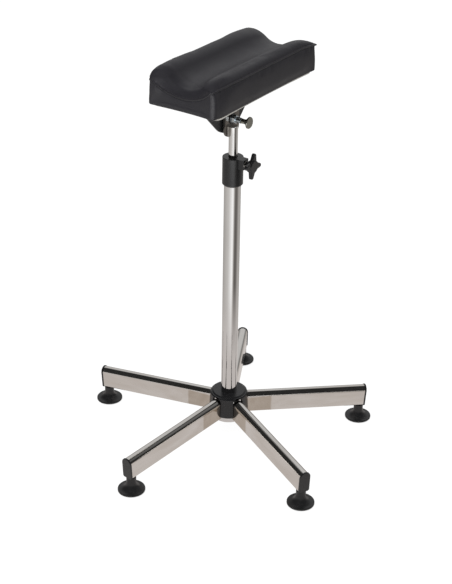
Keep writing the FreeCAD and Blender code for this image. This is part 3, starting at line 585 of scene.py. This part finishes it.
def boxingRings(rim, fine):
    # rings of points down the boxing and round its lower edge, each with its distance below the seam
    before, after = np.roll(rim, 1, 0), np.roll(rim, -1, 0)
    along = (after - before)[:, :2]
    outward = np.stack([-along[:, 1], along[:, 0]], 1)
    outward /= np.linalg.norm(outward, axis=1)[:, None]
    outward *= np.sign((outward * rim[:, :2]).sum(1))[:, None]
    foot = pad["foot"] + pad["lift"]
    roll = pad["roll"]
    drop = rim[:, 2] - foot

    def bulged(share):
        swell = pad["bulge"] * np.sin(math.pi * share) ** pad["bulgePower"]
        return rim[:, :2] + outward * swell[:, None]

    close = pad["closeRows"][1:] + pad["furtherRings"] if fine else ()
    most = drop * pad["closeShare"]
    levels = [np.minimum(depth, most) for depth in close]
    start = np.minimum(close[-1] if fine else 0.0, most)
    count = pad["fineRings"] if fine else pad["coarseRings"]
    levels += [start + (drop - roll - start) * share for share in np.linspace(0, 1, count + 1)[1:]]
    rings = []
    for level in levels:
        outline = bulged(np.clip(level / drop, 0, 1))
        rings.append((np.concatenate([outline, (rim[:, 2] - level)[:, None]], 1), -level))
    for turn in pad["rollTurns"]:
        inward = roll * (1 - math.cos(math.radians(turn)))
        height = foot + roll * (1 - math.sin(math.radians(turn)))
        outline = bulged(1 - roll / drop) - outward * inward
        rings.append((np.concatenate([outline, np.full((len(rim), 1), height)], 1), -drop))
    outline = rim[:, :2] * pad["underside"]
    rings.append((np.concatenate([outline, np.full((len(rim), 1), foot)], 1), -drop))
    return rings


def padMesh(name, spacing, shrink, fine):
    grid, away = padSurface(spacing, shrink, fine)
    rows, columns = away.shape
    points = [grid.reshape(-1, 3)]
    seamDistance = [away.reshape(-1)]
    faces = []
    for i in range(rows - 1):
        for j in range(columns - 1):
            a = i * columns + j
            faces.append((a, a + columns, a + columns + 1, a + 1))
    # the loop round the top, in order, and the boxing that hangs from it
    loop = [j for j in range(columns)] + [i * columns + columns - 1 for i in range(1, rows)]
    loop += [(rows - 1) * columns + j for j in range(columns - 2, -1, -1)]
    loop += [i * columns for i in range(rows - 2, 0, -1)]
    last = len(points[0])
    for ringPoints, distance in boxingRings(points[0][loop], fine):
        points.append(ringPoints)
        seamDistance.append(distance)
    ring = list(loop)
    count = len(loop)
    for k in range(len(points) - 1):
        nextRing = [last + k * count + m for m in range(count)]
        for m in range(count):
            n = (m + 1) % count
            faces.append((ring[m], ring[n], nextRing[n], nextRing[m]))
        ring = nextRing
    faces.append(tuple(ring))
    mesh = bpy.data.meshes.new(name)
    everything = np.concatenate(points)
    mesh.from_pydata((everything / 1000).tolist(), [], faces)
    mesh.update()
    return mesh, everything, np.concatenate(seamDistance), loop


def recalculated(mesh):
    work = bmesh.new()
    work.from_mesh(mesh)
    bmesh.ops.recalc_face_normals(work, faces=work.faces)
    work.to_mesh(mesh)
    work.free()
    mesh.update()


def pointValues(mesh, field):
    values = np.zeros(len(mesh.vertices) * 3, np.float32)
    mesh.vertices.foreach_get(field, values)
    return values.reshape(-1, 3)


def setPoints(mesh, points):
    mesh.vertices.foreach_set("co", (points / 1000).astype(np.float32).reshape(-1))
    mesh.update()


cloth = {
    "spacing": 4.0,          # of the coarse pad, and how much smaller it is
    "shrink": 1.0,
    "voxel": 0.005,
    "pressure": 4.0,
    "stiffness": 18.0,
    "quality": 5,
    "frames": 20,
    "pinned": 0.006,         # height over the foot up to which it is held
    "most": 1.6,             # the most that a point may move, in millimetres
    "neighbours": 8,         # coarse points that a fine one follows, and how evenly
    "evenness": 1.5,
}


def inflate():
    # blown up a little in a cloth simulation: where each coarse point goes, in millimetres
    mesh = padMesh("padCoarse", cloth["spacing"], cloth["shrink"], False)[0]
    recalculated(mesh)
    body = bpy.data.objects.new("padCoarse", mesh)
    bpy.context.scene.collection.objects.link(body)
    remesh = body.modifiers.new("remesh", "REMESH")
    remesh.mode = "VOXEL"
    remesh.voxel_size = cloth["voxel"]
    graph = bpy.context.evaluated_depsgraph_get()
    plain = bpy.data.meshes.new_from_object(body.evaluated_get(graph))
    body.modifiers.clear()
    body.data = plain
    start = pointValues(plain, "co").astype(float)
    soft = body.modifiers.new("cloth", "CLOTH")
    settings = soft.settings
    settings.quality = cloth["quality"]
    settings.use_pressure = True
    settings.uniform_pressure_force = cloth["pressure"]
    settings.tension_stiffness = cloth["stiffness"]
    settings.compression_stiffness = cloth["stiffness"]
    settings.effector_weights.gravity = 0
    pinned = body.vertex_groups.new(name="foot")
    low = pad["foot"] / 1000 + cloth["pinned"]
    pinned.add([i for i, p in enumerate(start) if p[2] < low], 1.0, "REPLACE")
    settings.vertex_group_mass = "foot"
    soft.point_cache.frame_start = 1
    soft.point_cache.frame_end = cloth["frames"]
    for step in range(1, cloth["frames"] + 1):
        bpy.context.scene.frame_set(step)
    graph = bpy.context.evaluated_depsgraph_get()
    done = bpy.data.meshes.new_from_object(body.evaluated_get(graph))
    end = pointValues(done, "co").astype(float)
    bpy.context.scene.frame_set(1)
    bpy.data.objects.remove(body)
    move = (end - start) * 1000
    size = np.linalg.norm(move, axis=1)
    move *= (np.minimum(size, cloth["most"]) / np.maximum(size, 1e-9))[:, None]
    print("cushion simulated:", len(start), "points, largest move", round(float(size.max()), 2), "mm")
    return start * 1000, move


def followCloth(points):
    # every fine point moves as the coarse ones round it did
    start, move = inflate()
    tree = kdtree.KDTree(len(start))
    for i, p in enumerate(start):
        tree.insert(p, i)
    tree.balance()
    for k, p in enumerate(points):
        near = tree.find_n(p, cloth["neighbours"])
        weights = np.array([1 / (distance + cloth["evenness"]) ** 2 for _, _, distance in near])
        points[k] = p + (weights[:, None] * move[[i for _, i, _ in near]]).sum(0) / weights.sum()


seamLook = {
    "ridge": 0.85,           # how far the seam stands up
    "ridgeWidth": 0.95,
    "groove": 0.42,          # how deep it is drawn in beside the seam
    "grooveAt": 2.2,
    "grooveWidth": 0.65,
    "endBand": 6,            # points this near an end are counted along it, the others along the side
    "endStretch": 1.07,
    "endStart": 400,
    "sideStart": 900,
    "pucker": 0.26,
    "puckerWaves": (5.1, 7.9, 11.3, 3.7),
    "puckerSeed": 5,
    "puckerAt": 1.5,
    "puckerFade": 5,
    "smoothSeam": 0.9,       # no puckers closer to the seam than this
    "tightness": 2.6,        # how much stronger they are at the corners
    "tightReach": 17,
    "unevenness": 0.35,      # of the whole skin
    "longWaves": ((61, 83), (47, 71)),
    "longSeeds": (9, 12),
    "longSlant": (0.8, 0.6, 0.4),     # of x, y and z in the directions in which they run
    "longFade": 12,          # it dies out this near the seam and the foot
    "footFade": 4,
}


def wave(values, seed, lengths):
    # smooth irregular wave along the seam, fixed seed
    rng = np.random.default_rng(seed)
    total = np.zeros_like(values)
    for length in lengths:
        total += np.sin(values * 2 * math.pi / length + rng.uniform(0, 6.3))
    return total / len(lengths)


def seamRelief(points, seam):
    # how far each point stands out of the plain skin
    x, y, z = points.T
    away = np.abs(seam)
    ridge = seamLook["ridge"] * np.exp(-(seam / seamLook["ridgeWidth"]) ** 2)
    groove = seamLook["groove"] * np.exp(-((away - seamLook["grooveAt"]) / seamLook["grooveWidth"]) ** 2)
    onEnd = np.abs(x) > pad["halfLength"] - seamLook["endBand"]
    alongEnd = y * seamLook["endStretch"] + seamLook["endStart"] * np.sign(x)
    alongSide = x + seamLook["sideStart"] * np.sign(y)
    corners = np.hypot(np.abs(x) - pad["halfLength"], np.abs(y) - pad["halfWidth"])
    tight = 1 + seamLook["tightness"] * np.exp(-(corners / seamLook["tightReach"]) ** 2)
    gathers = wave(np.where(onEnd, alongEnd, alongSide), seamLook["puckerSeed"], seamLook["puckerWaves"])
    fade = np.exp(-np.abs(away - seamLook["puckerAt"]) / seamLook["puckerFade"])
    pull = seamLook["pucker"] * tight * gathers * fade
    pull *= np.clip(away / seamLook["smoothSeam"], 0, 1)
    firstWaves, secondWaves = seamLook["longWaves"]
    firstSeed, secondSeed = seamLook["longSeeds"]
    shareX, shareY, shareZ = seamLook["longSlant"]
    slow = seamLook["unevenness"] * wave(x * shareX + y * shareY, firstSeed, firstWaves)
    slow = slow * wave(y - z * shareZ, secondSeed, secondWaves)
    slow *= np.clip(away / seamLook["longFade"], 0, 1) * (z > pad["foot"] + seamLook["footFade"])
    return ridge - groove + pull + slow


def pushCorners(points, seam):
    cornerEar, seamEar = pad["earReach"]
    for (sx, sy), (pushX, pushY, ear) in pad["corners"].items():
        far = np.hypot(points[:, 0] - sx * pad["halfLength"], points[:, 1] - sy * pad["halfWidth"])
        push = np.exp(-(far / pad["cornerReach"]) ** 2)
        tip = ear * np.exp(-(far / cornerEar) ** 2) * np.exp(-(seam / seamEar) ** 2)
        aside = pad["earAside"]
        points += np.stack([push * pushX + tip * sx * aside, push * pushY + tip * sy * aside, far * 0], 1)


def makeCushion():
    mesh, points, seam, loop = padMesh("cushion", pad["spacing"], 0.0, True)
    recalculated(mesh)
    followCloth(points)
    setPoints(mesh, points)
    points = points + pointValues(mesh, "normal") * seamRelief(points, seam)[:, None]
    pushCorners(points, seam)
    setPoints(mesh, points)
    mesh.shade_smooth()
    mesh.materials.append(vinyl)
    piece = bpy.data.objects.new("cushion", mesh)
    bpy.context.scene.collection.objects.link(piece)
    return piece, points, seam, loop


cushion, padPoints, padSeam, padLoop = makeCushion()
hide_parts("cover_top", "cover_boxing", "foam_core")
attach(cushion, "pad")
print("cushion made:", len(cushion.data.polygons), "faces")


# Stitches: a row of sunk stitches under the seam, laid by Geometry Nodes

stitch = {
    "pitch": 0.0042,
    "length": 0.0019,
    "width": 0.00042,
    "below": 0.0029,         # the seam
    "sides": 8,
    "rings": 6,
    "searched": 12,          # rings of the boxing among which the row's depth is found
    "darkColour": (0.004, 0.004, 0.004),
    "lightColour": (0.010, 0.010, 0.011),
    "twist": (4200.0, 1.0),
    "rough": 0.8,
}


def threadMaterial():
    mat, tree, shader = newMaterial("seamThread")
    twist = noiseField(tree, objectCoords(tree), *stitch["twist"])
    colour = blendColour(tree, twist, stitch["darkColour"], stitch["lightColour"])
    link(tree, colour, shader.inputs["Base Color"])
    shader.inputs["Roughness"].default_value = stitch["rough"]
    return mat


def stitchTree(material):
    tree = bpy.data.node_groups.new("stitchRow", "GeometryNodeTree")
    face = tree.interface
    face.new_socket("Geometry", in_out="INPUT", socket_type="NodeSocketGeometry")
    sizes = {}
    for label in ("Pitch", "Stitch Length", "Stitch Width"):
        sizes[label] = face.new_socket(label, in_out="INPUT", socket_type="NodeSocketFloat")
    face.new_socket("Geometry", in_out="OUTPUT", socket_type="NodeSocketGeometry")
    add = tree.nodes.new
    start, end = add("NodeGroupInput"), add("NodeGroupOutput")
    toCurve = add("GeometryNodeMeshToCurve")
    toPoints = add("GeometryNodeCurveToPoints")
    toPoints.mode = "LENGTH"
    bead = add("GeometryNodeMeshUVSphere")
    bead.inputs["Segments"].default_value = stitch["sides"]
    bead.inputs["Rings"].default_value = stitch["rings"]
    bead.inputs["Radius"].default_value = 0.5         # so that the sizes are its whole width and length
    size = add("ShaderNodeCombineXYZ")
    place = add("GeometryNodeInstanceOnPoints")
    solid = add("GeometryNodeRealizeInstances")
    coating = add("GeometryNodeSetMaterial")
    coating.inputs["Material"].default_value = material
    wire = tree.links.new
    wire(start.outputs["Geometry"], toCurve.inputs["Mesh"])
    wire(toCurve.outputs["Curve"], toPoints.inputs["Curve"])
    wire(start.outputs["Pitch"], toPoints.inputs["Length"])
    wire(toPoints.outputs["Points"], place.inputs["Points"])
    wire(toPoints.outputs["Rotation"], place.inputs["Rotation"])
    wire(bead.outputs["Mesh"], place.inputs["Instance"])
    wire(start.outputs["Stitch Width"], size.inputs["X"])
    wire(start.outputs["Stitch Width"], size.inputs["Y"])
    wire(start.outputs["Stitch Length"], size.inputs["Z"])
    wire(size.outputs["Vector"], place.inputs["Scale"])
    wire(place.outputs["Instances"], solid.inputs["Geometry"])
    wire(solid.outputs["Geometry"], coating.inputs["Geometry"])
    wire(coating.outputs["Geometry"], end.inputs["Geometry"])
    return tree, {label: socket.identifier for label, socket in sizes.items()}


def grownByNodes(name, points, edges, tree, values, body):
    # a line of points through a node tree, then a plain mesh
    mesh = bpy.data.meshes.new(name)
    mesh.from_pydata(points, edges, [])
    piece = bpy.data.objects.new(name, mesh)
    bpy.context.scene.collection.objects.link(piece)
    grower = piece.modifiers.new(name, "NODES")
    grower.node_group = tree
    for identifier, value in values.items():
        grower[identifier] = value
    graph = bpy.context.evaluated_depsgraph_get()
    plain = bpy.data.meshes.new_from_object(piece.evaluated_get(graph))
    piece.modifiers.clear()
    piece.data = plain
    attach(piece, body)
    return piece


def stitchPath():
    # closed line round the boxing, at the stitches' depth
    count = len(padLoop)
    start = (padSeam < 0).argmax()
    rings = padPoints[start:].reshape(-1, count, 3)[:stitch["searched"]] / 1000
    depths = -padSeam[start:].reshape(-1, count)[:stitch["searched"]] / 1000
    line = []
    for m in range(count):
        line.append([float(np.interp(stitch["below"], depths[:, m], rings[:, m, k])) for k in range(3)])
    return line, [(m, (m + 1) % count) for m in range(count)]


stitchLine, stitchEdges = stitchPath()
stitchNodes, stitchInputs = stitchTree(threadMaterial())
stitchSizes = {
    stitchInputs["Pitch"]: stitch["pitch"],
    stitchInputs["Stitch Length"]: stitch["length"],
    stitchInputs["Stitch Width"]: stitch["width"],
}
stitchRow = grownByNodes("seamStitches", stitchLine, stitchEdges, stitchNodes, stitchSizes, "pad")
print("stitches laid:", len(stitchRow.data.vertices), "points")


# Studio: white floor, even light, camera at the photograph's angle

studio = {
    "eye": (-1.79425, -1.20002, 1.49208),
    "heading": 34.0,
    "pitch": -28.791,
    "roll": 0.89,
    "lens": 83.2,
    "sensor": 36.0,
    "worldLight": 0.62,
    "keyPower": 46.0,
    "keyPlace": (-1.6, -0.2, 2.9),
    "keyAim": (0, 0, 0.5),
    "keySize": (2.2, 2.2),
    "sweepLevel": 0.60,      # white sweep behind the stand: how bright, how wide, and where it starts and ends
    "sweepSide": (0.66, 0.90),
    "sweepTop": (0.84, 0.98),
    "sweepFoot": (0.02, 0.28),
    "sweepFootLevel": 0.35,
    "roomLevel": 0.025,      # the rest of the room
    "boxLevel": 0.27,        # soft box on the right
    "boxWidth": (0.84, 0.97),
    "boxTurn": 1.06,
    "boxRise": 0.55,
}


def anyRay(tree, names):
    # 1 for a ray of one of these kinds
    path = addNode(tree, "ShaderNodeLightPath")
    total = path.outputs[names[0]]
    for name in names[1:]:
        total = mathNode(tree, "MAXIMUM", total, path.outputs[name])
    return total


def facing(tree, vector, direction, low, high):
    # 1 where a direction points the given way, 0 well away from it
    dot = addNode(tree, "ShaderNodeVectorMath", operation="DOT_PRODUCT")
    link(tree, vector, dot.inputs[0])
    dot.inputs[1].default_value = direction
    return spread(tree, dot.outputs["Value"], 0.0, 1.0, low, high)


def roomLight(tree):
    # what metal sees: a white sweep behind the stand, a dim room elsewhere, a soft box on the right
    direction = addNode(tree, "ShaderNodeTexCoord").outputs["Generated"]
    heading = math.radians(studio["heading"])
    ahead = (math.cos(heading), math.sin(heading), 0)
    boxHeading = heading - studio["boxTurn"]
    rightBox = Vector((math.cos(boxHeading), math.sin(boxHeading), studio["boxRise"])).normalized()
    level = addNode(tree, "ShaderNodeVectorMath", operation="MULTIPLY")
    level.inputs[1].default_value = (1, 1, 0)
    link(tree, direction, level.inputs[0])
    compass = addNode(tree, "ShaderNodeVectorMath", operation="NORMALIZE")
    link(tree, level.outputs["Vector"], compass.inputs[0])
    sweep = facing(tree, compass.outputs["Vector"], ahead, *studio["sweepSide"])
    parts = addNode(tree, "ShaderNodeSeparateXYZ")
    link(tree, direction, parts.inputs["Vector"])
    under = spread(tree, parts.outputs["Z"], 1.0, 0.0, *studio["sweepTop"])
    over = spread(tree, parts.outputs["Z"], studio["sweepFootLevel"], 1.0, *studio["sweepFoot"])
    white = mathNode(tree, "MULTIPLY", sweep, mathNode(tree, "MULTIPLY", under, over))
    box = facing(tree, direction, rightBox, *studio["boxWidth"])
    dim = mathNode(tree, "MULTIPLY_ADD", box, studio["boxLevel"], studio["roomLevel"])
    return mathNode(tree, "MULTIPLY_ADD", white, studio["sweepLevel"], dim)


def makeWorld():
    world = bpy.data.worlds.new("studio")
    bpy.context.scene.world = world
    world.use_nodes = True
    tree = world.node_tree
    tree.nodes.clear()
    out = addNode(tree, "ShaderNodeOutputWorld")
    plain = addNode(tree, "ShaderNodeBackground", Strength=studio["worldLight"])
    plain.inputs["Color"].default_value = (1, 1, 1, 1)
    seen = addNode(tree, "ShaderNodeBackground", Strength=1.0)
    room = roomLight(tree)
    grey = addNode(tree, "ShaderNodeCombineColor")
    for channel in ("Red", "Green", "Blue"):
        link(tree, room, grey.inputs[channel])
    mixed = addNode(tree, "ShaderNodeMixRGB")
    mixed.inputs["Color2"].default_value = (1, 1, 1, 1)
    link(tree, anyRay(tree, ["Is Camera Ray"]), mixed.inputs["Fac"])
    link(tree, grey.outputs["Color"], mixed.inputs["Color1"])
    link(tree, mixed.outputs["Color"], seen.inputs["Color"])
    choose = addNode(tree, "ShaderNodeMixShader")
    link(tree, anyRay(tree, ["Is Camera Ray", "Is Glossy Ray", "Is Transmission Ray"]), choose.inputs[0])
    link(tree, plain.outputs[0], choose.inputs[1])
    link(tree, seen.outputs[0], choose.inputs[2])
    link(tree, choose.outputs[0], out.inputs["Surface"])


floorLook = {
    "reach": 14.0,
    "colour": (0.95, 0.95, 0.95),
    "rough": 0.9,
    "whiteStrength": 1.14,   # what the camera sees, and its share: the rest is the floor with its shadow
    "whiteShare": 0.8,
    "nearColour": (0.64, 0.60, 0.58),      # what metal sees round the feet
    "farFrom": (0.28, 0.62),               # distance at which the levels below take over
    "farLevels": [           # round the stand, 0.5 is towards the camera
        (0.0, 0.34), (0.20, 0.5), (0.38, 0.66), (0.47, 0.95), (0.525, 1.15), (0.56, 0.75), (0.59, 0.28),
        (0.64, 0.13), (0.70, 0.20), (0.77, 0.48), (0.88, 0.46), (1.0, 0.34),
    ],
    "tint": 0.08,            # the dimmer it is, the browner
    "fade": (1.75, 2.05),    # the light on the floor falls off out there
    "fadeColour": (0.45, 0.45, 0.45),
    "glow": 3.0,             # painted glow on the floor far in front, seen only in reflections in place of a soft box: how bright, how far out, and its two sides
    "glowFrom": (1.55, 1.85),
    "glowLeft": (0.34, 0.47),
    "glowRight": (0.53, 0.62),
}


def levelRamp(tree, place, levels):
    ramp = addNode(tree, "ShaderNodeValToRGB")
    for k, (position, level) in enumerate(levels):
        if 0 < k < len(levels) - 1:
            stop = ramp.color_ramp.elements.new(position)
        else:
            stop = ramp.color_ramp.elements[0 if k == 0 else -1]
            stop.position = position
        tint = min(1.0, 1 - floorLook["tint"] + floorLook["tint"] * level)
        stop.color = (level, level * tint, level * tint ** 2, 1)
    link(tree, place, ramp.inputs["Fac"])
    return ramp.outputs["Color"]


def mirroredFloor(tree):
    # what metal sees on the floor: even round the feet, a dark side to the right further out
    _, radius, angle, _ = polarCoords(tree)
    turned = mathNode(tree, "SUBTRACT", angle, math.radians(studio["heading"] - 180))
    wrapped = mathNode(tree, "WRAP", turned, math.pi, -math.pi)
    side = spread(tree, wrapped, 0.0, 1.0, -math.pi, math.pi)
    dimmed = addNode(tree, "ShaderNodeMixRGB", blend_type="MULTIPLY")
    dimmed.inputs["Color2"].default_value = (*floorLook["fadeColour"], 1)
    link(tree, spread(tree, radius, 0.0, 1.0, *floorLook["fade"]), dimmed.inputs["Fac"])
    link(tree, levelRamp(tree, side, floorLook["farLevels"]), dimmed.inputs["Color1"])
    seen = addNode(tree, "ShaderNodeMixRGB")
    seen.inputs["Color1"].default_value = (*floorLook["nearColour"], 1)
    link(tree, spread(tree, radius, 0.0, 1.0, *floorLook["farFrom"]), seen.inputs["Fac"])
    link(tree, dimmed.outputs["Color"], seen.inputs["Color2"])
    # painted glow on the floor far in front, towards the camera, seen only in reflections
    out = spread(tree, radius, 0.0, floorLook["glow"], *floorLook["glowFrom"])
    left = spread(tree, side, 0.0, 1.0, *floorLook["glowLeft"])
    right = spread(tree, side, 1.0, 0.0, *floorLook["glowRight"])
    withGlow = addNode(tree, "ShaderNodeMixRGB", blend_type="ADD")
    withGlow.inputs["Fac"].default_value = 1.0
    link(tree, seen.outputs["Color"], withGlow.inputs["Color1"])
    link(tree, mathNode(tree, "MULTIPLY", out, mathNode(tree, "MULTIPLY", left, right)), withGlow.inputs["Color2"])
    return withGlow.outputs["Color"]


def makeFloor():
    mesh = bpy.data.meshes.new("studioFloor")
    far = floorLook["reach"]
    mesh.from_pydata([(-far, -far, 0), (far, -far, 0), (far, far, 0), (-far, far, 0)], [], [(0, 1, 2, 3)])
    floor = bpy.data.objects.new("studioFloor", mesh)
    bpy.context.scene.collection.objects.link(floor)
    mat, tree, shader = newMaterial("studioFloor")
    out = tree.nodes["Material Output"]
    shader.inputs["Base Color"].default_value = (*floorLook["colour"], 1)
    shader.inputs["Roughness"].default_value = floorLook["rough"]
    shader.inputs["Specular IOR Level"].default_value = 0.0
    mirror = addNode(tree, "ShaderNodeEmission")
    link(tree, mirroredFloor(tree), mirror.inputs["Color"])
    white = addNode(tree, "ShaderNodeEmission", Strength=floorLook["whiteStrength"])
    whitened = addNode(tree, "ShaderNodeMixShader")
    cameraShare = mathNode(tree, "MULTIPLY", anyRay(tree, ["Is Camera Ray"]), floorLook["whiteShare"])
    link(tree, cameraShare, whitened.inputs[0])
    link(tree, shader.outputs[0], whitened.inputs[1])
    link(tree, white.outputs[0], whitened.inputs[2])
    mirrored = addNode(tree, "ShaderNodeMixShader")
    link(tree, anyRay(tree, ["Is Glossy Ray", "Is Transmission Ray"]), mirrored.inputs[0])
    link(tree, whitened.outputs[0], mirrored.inputs[1])
    link(tree, mirror.outputs[0], mirrored.inputs[2])
    link(tree, mirrored.outputs[0], out.inputs["Surface"])
    mesh.materials.append(mat)


def makeKeyLamp():
    lamp = bpy.data.lights.new("keyLamp", "AREA")
    lamp.shape = "RECTANGLE"
    lamp.size, lamp.size_y = studio["keySize"]
    lamp.energy = studio["keyPower"]
    holder = bpy.data.objects.new("keyLamp", lamp)
    bpy.context.scene.collection.objects.link(holder)
    holder.location = studio["keyPlace"]
    aim = Vector(studio["keyAim"]) - Vector(studio["keyPlace"])
    holder.rotation_euler = aim.to_track_quat("-Z", "Y").to_euler()
    holder.visible_glossy = False


def makeCamera():
    heading, pitch, roll = (math.radians(studio[k]) for k in ("heading", "pitch", "roll"))
    look = Vector((math.cos(pitch) * math.cos(heading), math.cos(pitch) * math.sin(heading), math.sin(pitch)))
    right = Vector((math.sin(heading), -math.cos(heading), 0))
    up = right.cross(look)
    side = right * math.cos(roll) + up * math.sin(roll)
    top = up * math.cos(roll) - right * math.sin(roll)
    lens = bpy.data.cameras.new("photoCamera")
    lens.lens = studio["lens"]
    lens.sensor_width = studio["sensor"]
    camera = bpy.data.objects.new("photoCamera", lens)
    bpy.context.scene.collection.objects.link(camera)
    turn = Matrix((side, top, -look)).transposed().to_4x4()
    camera.matrix_world = Matrix.Translation(Vector(studio["eye"])) @ turn
    bpy.context.scene.camera = camera


makeWorld()
makeFloor()
makeKeyLamp()
makeCamera()
bpy.context.scene.view_settings.view_transform = "Standard"
print("studio set")
